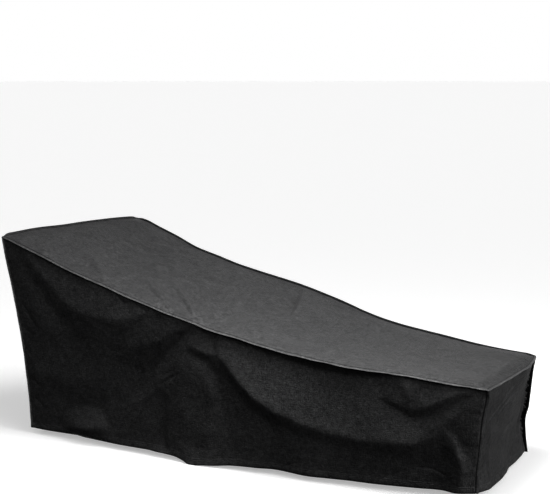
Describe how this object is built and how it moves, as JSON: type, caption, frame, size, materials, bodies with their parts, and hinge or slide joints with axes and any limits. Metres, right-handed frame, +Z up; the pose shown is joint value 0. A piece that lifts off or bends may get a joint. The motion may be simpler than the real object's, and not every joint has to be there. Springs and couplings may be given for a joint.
{
  "type": "lounge chair cover",
  "caption": "Fitted outdoor cover for a reclining lounge chair: tall at the head, low at the foot, with outside seams and an open hem.",
  "frame": {"origin": "middle of the cover's box, at the level its hem hangs to", "axes": "+X from the head (tall end) to the foot (low end), +Y from the near side to the far side, +Z up"},
  "size_m": [2.1646, 0.9422, 0.87],
  "materials": {
    "coated_cloth": "matt woven polyester, near black, with a faint dry sheen"
  },
  "bodies": {
    "root": {"top_panel": "coated_cloth", "side_near": "coated_cloth", "side_far": "coated_cloth", "foot_end": "coated_cloth", "head_end": "coated_cloth"}
  },
  "joints": []
}
